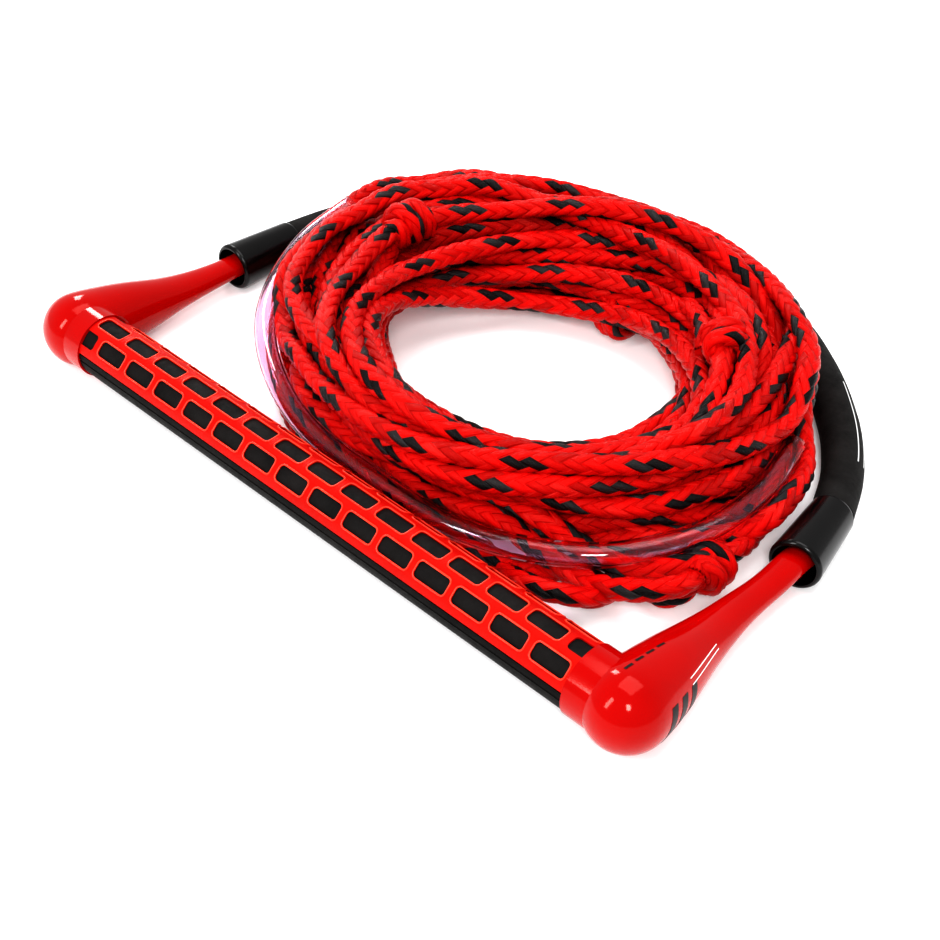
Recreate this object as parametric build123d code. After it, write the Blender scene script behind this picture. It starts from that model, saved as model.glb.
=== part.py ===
from build123d import *
import math
import os

# Tow rope handle: a moulded grip bar with two elbow end caps, a rope bridle in
# foam floats, and a coiled main line lying inside the bridle.
# Working frame: X along the bar, Y from the bar back to the bridle apex, Z up,
# floor at z = 0. Lengths in millimetres. Y is counted from the bar's axis in
# the variables below and shifted by y_mid when each piece is placed, so that
# the origin is the middle of the handle's footprint.

# ---- driving dimensions ----
y_mid = 128.0            # bar axis to the middle of the footprint
bar_z = 18.0             # height of the bar's axis above the floor
tube_r = 11.1            # aluminium tube, outside
tube_ri = 9.5
tube_half = 163.5
plug_x0 = 150.0
plug_x1 = 157.0
grip_half = 152.25       # 14.5 pitches of 21 mm
liner_r = 12.9
base_r = 14.2
grip_r = 15.0            # 30 mm grip
pitch = 21.0
win_len = 17.3
win_h = 7.6
row_deg = (44.8, 89.2, 133.5)      # angles of the window rows round the grip
lattice_deg = (14.0, 166.0)
keel_deg = (168.0, 372.0)
cap_x = 172.0            # bulb centre
bulb_r = 18.0
ring_r = 15.9
ring_end = 163.6
arm_x = 168.0
arm_tip = 118.0
arm_z = 12.0
cord_r = 3.5             # bridle rope
float_r = 9.5
float_z = 9.8
collar_len = 40.0
collar_r0 = 11.9         # mouth end
collar_r1 = 9.8          # float end
collar_cavity = 29.0
cavity_r0 = 10.2
cavity_r1 = 8.6
apex_y = 260.0
apex_z = 13.2
apex_size = (22.0, 26.0, 25.6)
line_r = 4.75            # main line, 9.5 mm braid
sleeve_r = 5.5           # clear vinyl sleeve, 11 mm
sleeve_ri = 4.3
coil_c = (-1.0, 138.5)   # centre of the coil's outer outline
coil_a = 152.0           # half axes of the outer outline
coil_b = 113.0
coil_turn = -12.0
hole_c = (8.0, 126.0)
hole_a = 82.0
hole_b = 63.0
hole_turn = -9.0
coil_h = 57.0

os.makedirs("parts", exist_ok=True)


def at(x, y, z):
    return Vector(x, y - y_mid, z)


def save(shape, name, label=None):
    shape.label = name
    export_step(shape, "parts/" + name + ".step")
    print(name, "volume", round(shape.volume, 1))


def route_radii(points):
    # each arc is as large as its two runs allow
    out = []
    for i in range(1, len(points) - 1):
        a = points[i] - points[i - 1]
        b = points[i + 1] - points[i]
        half = math.radians(a.get_angle(b)) / 2
        out.append(round(0.45 * min(a.length, b.length) / math.tan(half), 2))
    return out


def tube_along(points, radius, inner=None):
    radii = route_radii(points)
    if len(points) > 2:
        path = FilletPolyline(*points, radius=radii)
    else:
        path = Line(points[0], points[1])
    face = Plane(origin=path @ 0, z_dir=path % 0) * Circle(radius)
    solid = sweep(face, path=path)
    if inner:
        hole = Plane(origin=path @ 0, z_dir=path % 0) * Circle(inner)
        solid = solid - sweep(hole, path=path)
    return solid, path.length, radii


def x_cyl(radius, x0, x1):
    pl = Plane(origin=at(x0, 0, bar_z), x_dir=(0, 1, 0), z_dir=(1, 0, 0))
    return extrude(pl * Circle(radius), amount=x1 - x0)


def x_tube(ro, ri, x0, x1):
    return x_cyl(ro, x0, x1) - x_cyl(ri, x0, x1)


def sector(deg0, deg1, ro, x0, x1):
    # a wedge round the bar's axis, angles counted from +Y towards +Z
    n = max(2, int((deg1 - deg0) / 30) + 1)
    pts = [(0.0, 0.0)]
    big = ro * 1.6
    for i in range(n + 1):
        t = math.radians(deg0 + (deg1 - deg0) * i / n)
        pts.append((big * math.cos(t), big * math.sin(t)))
    pl = Plane(origin=at(x0, 0, bar_z), x_dir=(0, 1, 0), z_dir=(1, 0, 0))
    return extrude(pl * make_face(Polyline(*pts, close=True)), amount=x1 - x0)


# ---- bar ----
bar_tube = x_tube(tube_r, tube_ri, -tube_half, tube_half)
save(bar_tube, "bar_tube")
grip_liner = x_tube(liner_r, tube_r, -grip_half, grip_half)
save(grip_liner, "grip_liner")
grip_base = x_tube(base_r, liner_r, -grip_half, grip_half)
save(grip_base, "grip_base")

# open brick lattice, three rows of windows over the top of the grip
lattice = x_tube(grip_r, base_r, -grip_half, grip_half)
lattice = lattice & sector(lattice_deg[0], lattice_deg[1], grip_r, -grip_half, grip_half)
cutters = []
for row, deg in enumerate(row_deg):
    t = math.radians(deg)
    out = Vector(0, math.cos(t), math.sin(t))
    centres = []
    if row == 1:
        centres = [(-grip_half + pitch * (0.5 + k), win_len) for k in range(14)]
        centres.append((grip_half - (pitch / 2 - (pitch - win_len) / 2) / 2 + 2.0,
                        pitch / 2 - (pitch - win_len) / 2 + 4.0))
    else:
        centres = [(-grip_half + pitch * (1.0 + k), win_len) for k in range(14)]
        centres.append((-grip_half + (pitch / 2 - (pitch - win_len) / 2) / 2 - 2.0,
                        pitch / 2 - (pitch - win_len) / 2 + 4.0))
    for x, w in centres:
        base = at(x, 0, bar_z) + out * (base_r - 2.5)
        pl = Plane(origin=base, x_dir=(1, 0, 0), z_dir=out)
        cutters.append(extrude(pl * RectangleRounded(w, win_h, 2.0), amount=5.0))
lattice = lattice - cutters
lattice = lattice.solids()[0] if len(lattice.solids()) == 1 else lattice
save(lattice, "grip_lattice")

# smooth strip under the grip, with two shallow grooves
keel = x_tube(grip_r, base_r, -grip_half, grip_half)
keel = keel & sector(keel_deg[0], keel_deg[1], grip_r, -grip_half, grip_half)
for deg in (181.0, 359.0):
    t = math.radians(deg)
    c = at(-grip_half, 0, bar_z) + Vector(0, math.cos(t), math.sin(t)) * (grip_r + 0.1)
    pl = Plane(origin=c, x_dir=(0, 1, 0), z_dir=(1, 0, 0))
    keel = keel - extrude(pl * Circle(0.55), amount=2 * grip_half)
save(keel, "grip_keel_strip")

# ---- the two ends, built side by side ----
def build_end(side, sgn):
    def sx(x0, x1):
        return (x0, x1) if sgn > 0 else (-x1, -x0)

    tail_pts = [at(sgn * plug_x0, 0, bar_z), at(sgn * arm_x, 0, bar_z),
                at(sgn * arm_x, 42.0, 15.1), at(sgn * arm_x, 85.0, arm_z),
                at(sgn * arm_x, arm_tip, arm_z)]
    tail_path = FilletPolyline(*tail_pts, radius=[11.0, 400.0, 300.0])
    tail_face = Plane(origin=tail_path @ 0, z_dir=tail_path % 0) * Circle(cord_r)
    tail = sweep(tail_face, path=tail_path)

    sections = [  # y, x, z, half width, half height
        (0.0, 172.0, 18.0, 18.0, 18.0), (3.5, 171.9, 17.9, 17.95, 17.85),
        (10.0, 171.6, 17.4, 17.4, 17.2),
        (24.0, 170.8, 16.4, 15.5, 14.9), (38.0, 169.8, 15.3, 13.0, 11.9),
        (50.0, 169.0, 14.4, 11.0, 9.0), (62.0, 168.4, 13.5, 9.3, 7.0),
        (74.0, 168.0, 12.8, 8.0, 5.8), (86.0, 168.0, 12.1, 7.2, 5.2),
        (101.0, 168.0, 12.0, 6.9, 5.0), (118.0, 168.0, 12.0, 6.6, 4.9)]
    faces = []
    for y, x, z, a, b in sections:
        pl = Plane(origin=at(sgn * x, y, z), x_dir=(1, 0, 0), z_dir=(0, 1, 0))
        faces.append(pl * Ellipse(a, b))
    arm = loft(faces)
    ball = Pos(*at(sgn * cap_x, 0, bar_z)) * Sphere(bulb_r)
    front = Pos(*at(sgn * cap_x, -20.0, bar_z)) * Box(60, 40, 60)
    cap = arm + (ball & front)
    cap = cap + x_cyl(ring_r, *sx(grip_half, ring_end))
    cap = cap + x_cyl(ring_r - 0.8, *sx(ring_end - 1.0, cap_x))
    cap = cap - x_cyl(tube_r, *sx(grip_half - 1, tube_half))
    cap = cap - tail
    cap = cap.solids()[0] if len(cap.solids()) == 1 else cap
    bb = cap.bounding_box()
    print("cap lowest", round(bb.min.Z, 3), "highest", round(bb.max.Z, 3))
    save(cap, "end_cap_" + side)
    save(x_tube(tube_ri, cord_r, *sx(plug_x0, plug_x1)), "tube_plug_" + side)
    save(tail, "bridle_tail_" + side)
    knot = fillet(x_cyl(8.2, *sx(plug_x0 - 16.0, plug_x0)).edges(), 3.0)
    save(knot, "stopper_knot_" + side)


build_end("right", 1)
build_end("left", -1)


# ---- collars ----
def collar(mouth, far):
    axis = (far - mouth).normalized()
    length = (far - mouth).length
    prof = Polyline((cavity_r0 + 0.5, 0.0), (collar_r0 - 2.0, 0.0))
    lip = ThreePointArc((collar_r0 - 2.0, 0.0), (collar_r0 - 0.5, 0.6),
                        (collar_r0, 2.2))
    side = Polyline((collar_r0, 2.2), (collar_r1 + 0.35, length - 0.8),
                    (collar_r1, length), (cord_r, length),
                    (cord_r, collar_cavity), (cavity_r1, collar_cavity),
                    (cavity_r1, 12.0), (cavity_r0 + 0.5, 0.0))
    face = make_face(prof + lip + side)
    # profile drawn as (radius, length) on the XZ plane
    face = Plane(origin=(0, 0, 0), x_dir=(1, 0, 0), z_dir=(0, -1, 0)) * face
    body = revolve(face, axis=Axis.Z, revolution_arc=360)
    side_dir = Vector(0, 0, 1).cross(axis).normalized()
    pl = Plane(origin=mouth, x_dir=side_dir, z_dir=axis)
    return pl.location * body


mouth_l, far_l = at(-167.8, 90.0, 11.9), at(-168.0, 130.0, float_z)
mouth_r, far_r = at(168.9, 111.0, 11.9), at(160.9, 150.2, float_z)
collar_left = collar(mouth_l, far_l)
collar_right = collar(mouth_r, far_r)

# ---- floats and bridle rope ----
left_route = [far_l, at(-163.6, 154.0, float_z), at(-153.0, 184.0, float_z),
              at(-131.0, 216.0, float_z), at(-97.0, 240.0, float_z),
              at(-62.0, 254.0, float_z), at(-36.0, apex_y, float_z),
              at(-11.0, apex_y, float_z)]
right_route = [far_r, at(151.0, 173.0, float_z), at(134.5, 196.5, float_z),
               at(108.0, 222.5, float_z), at(77.0, 244.0, float_z),
               at(50.0, 255.5, float_z), at(30.0, apex_y, float_z),
               at(11.0, apex_y, float_z)]


def start_in_cavity(mouth, far):
    u = (far - mouth).normalized()
    return mouth + u * (collar_cavity + 0.5)


rope_l, len_l, rad_l = tube_along([start_in_cavity(mouth_l, far_l)] + left_route, cord_r)
rope_r, len_r, rad_r = tube_along(
    [mouth_r + (far_r - mouth_r).normalized() * 9.5] + right_route, cord_r)
print("bridle rope left", round(len_l, 1), "radii", rad_l)
print("bridle rope right", round(len_r, 1), "radii", rad_r)
float_l, flen_l, _ = tube_along(left_route, float_r)
float_r_solid, flen_r, _ = tube_along(right_route, float_r)
print("float lengths", round(flen_l, 1), round(flen_r, 1))
save(collar_left - rope_l, "collar_left")
save(collar_right - rope_r, "collar_right")
save(float_l - collar_left - rope_l, "float_left")
save(float_r_solid - collar_right - rope_r, "float_right")
save(rope_l, "bridle_rope_left")
save(rope_r, "bridle_rope_right")

apex = Pos(*at(0, apex_y, apex_z)) * Box(*apex_size)
apex = fillet(apex.edges().filter_by(Axis.X), 8.0)
save(apex, "bridle_apex_knot")

# ---- main line: lead, coil, knots, loop ----
lead_pts = [at(0, apex_y - apex_size[1] / 2, 13.2), at(0, 221.0, 13.2)]
lead, lead_len, _ = tube_along(lead_pts, line_r)
print("mainline lead length", round(lead_len, 1), "section x length",
      round(math.pi * line_r ** 2 * lead_len, 1))
save(lead, "mainline_lead")

sleeve_xyz = [(-133.1, 143.3, 39.9), (-133.9, 116.0, 34.9), (-126.5, 89.5, 30.3),
              (-111.3, 66.5, 26.6), (-90.5, 48.2, 23.9), (-66.2, 34.6, 22.1),
              (-39.9, 25.2, 20.9), (-12.6, 21.5, 20.2), (15.3, 21.5, 20.0),
              (43.1, 21.5, 20.2), (70.3, 25.9, 20.7), (95.9, 37.1, 21.5),
              (117.9, 54.1, 22.6), (133.5, 77.1, 23.9), (140.5, 104.0, 25.1),
              (139.4, 131.8, 26.1), (132.5, 158.8, 26.9)]
sleeve_pts = [at(*p) for p in sleeve_xyz]
sleeve, sleeve_len, sleeve_rad = tube_along(sleeve_pts, sleeve_r, sleeve_ri)
print("clear sleeve length", round(sleeve_len, 1), "radii", sleeve_rad)
print("  volume check", round(sleeve.volume, 1),
      round(math.pi * (sleeve_r ** 2 - sleeve_ri ** 2) * sleeve_len, 1))
save(sleeve, "clear_sleeve")

rim = coil_h / 2
disc_face = make_face(
    Polyline((0, 0), (coil_a - rim * 0.9, 0))
    + ThreePointArc((coil_a - rim * 0.9, 0), (coil_a, rim), (coil_a - rim * 0.9, coil_h))
    + Polyline((coil_a - rim * 0.9, coil_h), (0, coil_h), (0, 0)))
disc = revolve(Plane(origin=(0, 0, 0), x_dir=(1, 0, 0), z_dir=(0, -1, 0)) * disc_face,
               axis=Axis.Z, revolution_arc=360)
disc = scale(disc, by=(1, coil_b / coil_a, 1))
disc = Pos(*at(coil_c[0], coil_c[1], 0)) * Rot(0, 0, coil_turn) * disc
flare = 15.0
hole_face = make_face(
    Polyline((0, 0), (hole_a + flare, 0))
    + ThreePointArc((hole_a + flare, 0), (hole_a, rim), (hole_a + flare, coil_h))
    + Polyline((hole_a + flare, coil_h), (0, coil_h), (0, 0)))
hole = revolve(Plane(origin=(0, 0, 0), x_dir=(1, 0, 0), z_dir=(0, -1, 0)) * hole_face,
               axis=Axis.Z, revolution_arc=360)
hole = scale(hole, by=(1, hole_b / hole_a, 1))
hole = Pos(*at(hole_c[0], hole_c[1], 0)) * Rot(0, 0, hole_turn) * hole
coil = disc - hole
# leave the bar's path and the floats free
coil = coil - Pos(*at(0, -79.0 + 1.0, 30)) * Box(400, 200, 100)
tunnel_l, _, _ = tube_along([mouth_l] + left_route, float_r + 0.5)
tunnel_r, _, _ = tube_along([mouth_r] + right_route, float_r + 0.5)
coil = coil - tunnel_l - tunnel_r
coil = coil - Pos(*at(0, apex_y, apex_z)) * Box(apex_size[0] + 1.6, apex_size[1] + 1.6, apex_size[2] + 1.6)
pocket, _, _ = tube_along(lead_pts, line_r + 0.6)
coil = coil - pocket
sleeve_room, _, _ = tube_along(sleeve_pts, sleeve_r + 0.4)
coil = coil - sleeve_room

# joins between the line's sections: lumps of wrapped rope set into the coil
join_specs = {
    "section_knot_1": ((-99.0, 146.0, 48.5), (20.0, 15.0, 9.5), 35.0),
    "section_knot_2": ((81.0, 169.0, 47.5), (13.0, 17.0, 9.5), -35.0),
    "section_knot_3": ((6.0, 186.0, 10.0), (12.0, 9.0, 9.0), 0.0),
}
for name, (c, s, turn) in join_specs.items():
    lump = scale(Sphere(10.0), by=(s[0] / 10.0, s[1] / 10.0, s[2] / 10.0))
    lump = Pos(*at(*c)) * Rot(0, 0, turn) * lump
    room = scale(Sphere(10.0), by=((s[0] + 0.4) / 10.0, (s[1] + 0.4) / 10.0, (s[2] + 0.4) / 10.0))
    room = Pos(*at(*c)) * Rot(0, 0, turn) * room
    coil = coil - room
    save(lump, name)

# eye spliced in the boat end of the line, standing out of the coil's edge
eye_c = at(133.0, 73.0, 8.0)
eye = Pos(*eye_c) * Rot(0, 0, 0) * Torus(11.0, line_r)
eye_room = Pos(*eye_c) * Cylinder(15.75, 9.5)
coil = coil - eye_room
save(eye, "tow_loop")

pieces = coil.solids()
pieces = sorted(pieces, key=lambda s: s.volume, reverse=True)
print("coil pieces", [round(s.volume, 1) for s in pieces])
coil = pieces[0]
save(coil, "mainline_coil")
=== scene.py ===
# Looks of the tow rope handle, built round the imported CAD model.
# Metres, in the row frame: X along the bar, Y from the bar back to the bridle's
# apex, Z up, floor at z = 0.
import math

import bpy
import numpy as np
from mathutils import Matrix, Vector


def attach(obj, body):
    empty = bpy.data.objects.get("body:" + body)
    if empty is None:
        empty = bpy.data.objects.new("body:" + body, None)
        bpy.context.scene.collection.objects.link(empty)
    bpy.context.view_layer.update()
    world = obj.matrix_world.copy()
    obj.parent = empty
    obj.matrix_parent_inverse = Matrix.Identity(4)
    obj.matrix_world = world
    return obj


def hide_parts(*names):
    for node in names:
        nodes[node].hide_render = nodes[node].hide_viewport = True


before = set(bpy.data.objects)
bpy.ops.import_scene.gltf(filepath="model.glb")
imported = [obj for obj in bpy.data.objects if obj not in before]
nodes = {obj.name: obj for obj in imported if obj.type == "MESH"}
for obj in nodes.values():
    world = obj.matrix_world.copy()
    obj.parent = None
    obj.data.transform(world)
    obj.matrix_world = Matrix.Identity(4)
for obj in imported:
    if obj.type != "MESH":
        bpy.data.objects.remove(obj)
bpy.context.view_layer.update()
scene = bpy.context.scene
Y_MID = 0.128  # the bar's axis to the middle of the footprint


def mm(points):
    """Points in millimetres, y counted from the bar's axis, to the row frame in metres."""
    p = np.array(points, float) * 0.001
    p[:, 1] -= Y_MID
    return p


# ------------------------------------------------------------------ materials
def new_material(name):
    m = bpy.data.materials.new(name)
    m.use_nodes = True
    nt = m.node_tree
    nt.nodes.clear()
    out = nt.nodes.new("ShaderNodeOutputMaterial")
    bsdf = nt.nodes.new("ShaderNodeBsdfPrincipled")
    nt.links.new(bsdf.outputs[0], out.inputs[0])
    return m, nt, bsdf


def ramp(nt, stops):
    r = nt.nodes.new("ShaderNodeValToRGB")
    e = r.color_ramp.elements
    while len(e) < len(stops):
        e.new(0.5)
    for el, (pos, col) in zip(e, stops):
        el.position = pos
        el.color = (*col, 1) if len(col) == 3 else col
    return r


def noise(nt, coords, scale, detail=3.0, rough=0.5):
    n = nt.nodes.new("ShaderNodeTexNoise")
    n.inputs["Scale"].default_value = scale
    n.inputs["Detail"].default_value = detail
    n.inputs["Roughness"].default_value = rough
    if coords is not None:
        nt.links.new(coords, n.inputs["Vector"])
    return n


def bump(nt, bsdf, height, strength, distance, normal=None):
    b = nt.nodes.new("ShaderNodeBump")
    b.inputs["Strength"].default_value = strength
    b.inputs["Distance"].default_value = distance
    nt.links.new(height, b.inputs["Height"])
    if normal is not None:
        nt.links.new(normal, b.inputs["Normal"])
    nt.links.new(b.outputs[0], bsdf.inputs["Normal"])
    return b


def plastic(name, low, high, rough, scale, strength, distance, patch=30.0,
            rough_span=0.06, coat=0.0, coat_rough=0.05, spec=0.5, grain=0.6, spec_tint=None):
    """Moulded plastic or rubber: soft mottling, uneven gloss and a fine skin."""
    m, nt, bsdf = new_material(name)
    geo = nt.nodes.new("ShaderNodeNewGeometry")
    tc = nt.nodes.new("ShaderNodeTexCoord")
    big = noise(nt, tc.outputs["Object"], patch, 4.0, 0.6)
    cr = ramp(nt, [(0.3, low), (0.7, high)])
    nt.links.new(big.outputs[0], cr.inputs[0])
    nt.links.new(cr.outputs[0], bsdf.inputs["Base Color"])
    rr = ramp(nt, [(0.25, (rough - rough_span,) * 3), (0.75, (rough + rough_span,) * 3)])
    mid = noise(nt, tc.outputs["Object"], patch * 6, 3.0, 0.6)
    nt.links.new(mid.outputs[0], rr.inputs[0])
    nt.links.new(rr.outputs[0], bsdf.inputs["Roughness"])
    fine = noise(nt, tc.outputs["Object"], scale, 3.0, grain)
    bump(nt, bsdf, fine.outputs[0], strength, distance)
    bsdf.inputs["Specular IOR Level"].default_value = spec
    if spec_tint is not None:
        bsdf.inputs["Specular Tint"].default_value = spec_tint
    if coat:
        bsdf.inputs["Coat Weight"].default_value = coat
        bsdf.inputs["Coat Roughness"].default_value = coat_rough
    return m


def yarn(name, colour, rough=0.30, spec=0.45, tint=(1.0, 0.24, 0.2, 1), glint=0.7):
    """Flat polyethylene film yarn: one dye colour, creases between carriers, streaks along each."""
    m, nt, bsdf = new_material(name)
    bsdf.inputs["Base Color"].default_value = (*colour, 1)
    uv = nt.nodes.new("ShaderNodeUVMap")
    uv.uv_map = "yarn"
    sep = nt.nodes.new("ShaderNodeSeparateXYZ")
    nt.links.new(uv.outputs[0], sep.inputs[0])

    def edge(out, low, high):
        f = nt.nodes.new("ShaderNodeMath")
        f.operation = "FRACT"
        nt.links.new(out, f.inputs[0])
        d = nt.nodes.new("ShaderNodeMath")
        d.operation = "SUBTRACT"
        d.inputs[1].default_value = 0.5
        nt.links.new(f.outputs[0], d.inputs[0])
        a = nt.nodes.new("ShaderNodeMath")
        a.operation = "ABSOLUTE"
        nt.links.new(d.outputs[0], a.inputs[0])
        r = nt.nodes.new("ShaderNodeMapRange")
        r.interpolation_type = "SMOOTHSTEP"
        r.inputs["From Min"].default_value = low
        r.inputs["From Max"].default_value = high
        r.inputs["To Min"].default_value = 1.0
        r.inputs["To Max"].default_value = 0.0
        nt.links.new(a.outputs[0], r.inputs["Value"])
        return r.outputs[0]

    side = edge(sep.outputs[1], 0.30, 0.5)
    mp = nt.nodes.new("ShaderNodeMapping")
    mp.inputs["Scale"].default_value = (0.45, 4.5, 1.0)
    nt.links.new(uv.outputs[0], mp.inputs[0])
    streak = noise(nt, mp.outputs[0], 2.2, 4.0, 0.62)
    rr = ramp(nt, [(0.35, (rough - 0.12,) * 3), (0.6, (rough + 0.2,) * 3)])
    nt.links.new(streak.outputs[0], rr.inputs[0])
    nt.links.new(rr.outputs[0], bsdf.inputs["Roughness"])
    b1 = nt.nodes.new("ShaderNodeBump")
    b1.inputs["Strength"].default_value = 0.75
    b1.inputs["Distance"].default_value = 0.0007
    nt.links.new(side, b1.inputs["Height"])
    bump(nt, bsdf, streak.outputs[0], glint, 0.0007, b1.outputs[0])
    bsdf.inputs["Specular IOR Level"].default_value = spec
    bsdf.inputs["Specular Tint"].default_value = tint
    return m


M = {}
M["cap"] = plastic("cap_gloss_red", (0.34, 0.0003, 0.0003), (0.40, 0.0005, 0.0004), 0.10, 900, 0.04, 0.0002,
                   patch=18, rough_span=0.025, spec=0.40, spec_tint=(1.0, 0.38, 0.34, 1))
M["lattice"] = plastic("grip_red_rubber", (0.40, 0.0036, 0.0020), (0.49, 0.0062, 0.0036), 0.42, 1500, 0.30, 0.0003,
                       patch=60, rough_span=0.08, spec=0.2, spec_tint=(1.0, 0.4, 0.25, 1))
M["base"] = plastic("grip_black_rubber", (0.006, 0.0052, 0.005), (0.014, 0.012, 0.0115), 0.62, 1800, 0.5, 0.0003,
                    patch=50, rough_span=0.1, spec=0.12)
M["keel"] = plastic("keel_black_rubber", (0.0035, 0.0030, 0.0028), (0.0080, 0.0068, 0.0062), 0.5, 1200, 0.25, 0.0002,
                    patch=40, rough_span=0.08, spec=0.07)
M["collar"] = plastic("collar_gloss_black", (0.0020, 0.0016, 0.0016), (0.004, 0.0032, 0.0032), 0.2, 700, 0.06, 0.0003,
                      patch=25, rough_span=0.04, spec=0.30)
M["float"] = plastic("float_foam_black", (0.008, 0.0072, 0.007), (0.020, 0.0185, 0.018), 0.7, 2600, 0.6, 0.0004,
                     patch=80, rough_span=0.08, spec=0.14)
M["tube"] = plastic("tube_aluminium", (0.62, 0.63, 0.65), (0.74, 0.75, 0.77), 0.3, 1500, 0.1, 0.0002, patch=40)
M["tube"].node_tree.nodes["Principled BSDF"].inputs["Metallic"].default_value = 1.0
M["liner"] = plastic("liner_foam", (0.03, 0.03, 0.03), (0.06, 0.06, 0.06), 0.8, 2200, 0.6, 0.0004, patch=90)
M["plug"] = plastic("plug_nylon", (0.09, 0.09, 0.09), (0.14, 0.14, 0.14), 0.5, 1200, 0.2, 0.0002, patch=60)
M["red_1"] = yarn("yarn_red_1", (0.55, 0.0013, 0.0008))
M["red_2"] = yarn("yarn_red_2", (0.46, 0.0010, 0.0006))
M["red_3"] = yarn("yarn_red_3", (0.35, 0.0010, 0.0006))
M["red_4"] = yarn("yarn_red_4", (0.56, 0.0060, 0.0045), rough=0.26, spec=0.7)
M["black_1"] = yarn("yarn_black_1", (0.0040, 0.0028, 0.0030), spec=0.18, tint=(1, 1, 1, 1))
M["black_2"] = yarn("yarn_black_2", (0.0125, 0.0095, 0.0100), spec=0.30, tint=(1, 1, 1, 1))
M["cord"] = plastic("bridle_cord_red", (0.5, 0.01, 0.006), (0.72, 0.02, 0.012), 0.55, 800, 0.8, 0.0006, patch=300)

FINISH = {
    "bar_tube": "tube", "grip_liner": "liner", "grip_base": "base", "grip_lattice": "lattice",
    "grip_keel_strip": "keel", "end_cap_left": "cap", "end_cap_right": "cap",
    "tube_plug_left": "plug", "tube_plug_right": "plug",
    "bridle_tail_left": "cord", "bridle_tail_right": "cord",
    "stopper_knot_left": "cord", "stopper_knot_right": "cord",
    "collar_left": "collar", "collar_right": "collar",
    "float_left": "float", "float_right": "float",
    "bridle_rope_left": "cord", "bridle_rope_right": "cord",
    "bridle_apex_knot": "cord", "mainline_lead": "cord", "mainline_coil": "cord",
    "section_knot_1": "cord", "section_knot_2": "cord", "section_knot_3": "cord",
    "tow_loop": "cord", "clear_sleeve": "plug",
}
for name, key in FINISH.items():
    ob = nodes[name]
    ob.data.materials.clear()
    ob.data.materials.append(M[key])


# ------------------------------------------------------------------ rope lines
def link(ob):
    scene.collection.objects.link(ob)
    return ob


def line_of(points, steps=14):
    """A NURBS line with these control points, read back as points along it."""
    cu = bpy.data.curves.new("route", "CURVE")
    cu.dimensions = "3D"
    sp = cu.splines.new("NURBS")
    sp.points.add(len(points) - 1)
    for p, q in zip(sp.points, points):
        p.co = (float(q[0]), float(q[1]), float(q[2]), 1.0)
    sp.order_u = 3
    sp.use_endpoint_u = True
    sp.resolution_u = steps
    cu.resolution_u = steps
    ob = link(bpy.data.objects.new("route", cu))
    me = bpy.data.meshes.new_from_object(ob)
    pts = np.array([v.co[:] for v in me.vertices])
    bpy.data.objects.remove(ob)
    bpy.data.meshes.remove(me)
    bpy.data.curves.remove(cu)
    keep = np.r_[True, np.linalg.norm(np.diff(pts, axis=0), axis=1) > 1e-7]
    return pts[keep]


def arclen(line):
    return np.r_[0, np.cumsum(np.linalg.norm(np.diff(line, axis=0), axis=1))]


def at_lengths(line, s):
    L = arclen(line)
    return np.stack([np.interp(s, L, line[:, k]) for k in range(3)], 1)


def frames(c, start=None):
    t = np.gradient(c, axis=0)
    t /= np.linalg.norm(t, axis=1)[:, None]
    n = np.zeros_like(c)
    a = np.array(start if start is not None else (0, 0, 1.0), float)
    if abs(a @ t[0]) > 0.9:
        a = np.array((1.0, 0, 0))
    for i in range(len(c)):
        a = a - t[i] * (a @ t[i])
        a = a / math.sqrt(a @ a)
        n[i] = a
    return t, n, np.cross(t, n)


def mesh_from(name, verts, quads, mats, index=None, uv=None, smooth=True, extra=None):
    me = bpy.data.meshes.new(name)
    nq = len(quads)
    me.vertices.add(len(verts))
    me.vertices.foreach_set("co", np.asarray(verts, np.float32).ravel())
    extra = extra or []
    loops = np.concatenate([quads.ravel()] + [np.array(f) for f in extra]).astype(np.int32)
    me.loops.add(len(loops))
    me.loops.foreach_set("vertex_index", loops)
    me.polygons.add(nq + len(extra))
    starts = list(range(0, 4 * nq, 4))
    k = 4 * nq
    for f in extra:
        starts.append(k)
        k += len(f)
    me.polygons.foreach_set("loop_start", np.array(starts, np.int32))
    if index is not None:
        me.polygons.foreach_set("material_index", np.r_[index, np.zeros(len(extra))].astype(np.int32))
    me.polygons.foreach_set("use_smooth", np.full(nq + len(extra), smooth, bool))
    if uv is not None:
        lay = me.uv_layers.new(name="yarn")
        flat = np.concatenate([uv.reshape(-1, 2), np.zeros((len(loops) - 4 * nq, 2))])
        lay.data.foreach_set("uv", flat.astype(np.float32).ravel())
    me.update(calc_edges=True)
    me.validate()
    for m in mats:
        me.materials.append(m)
    return link(bpy.data.objects.new(name, me))


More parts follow.
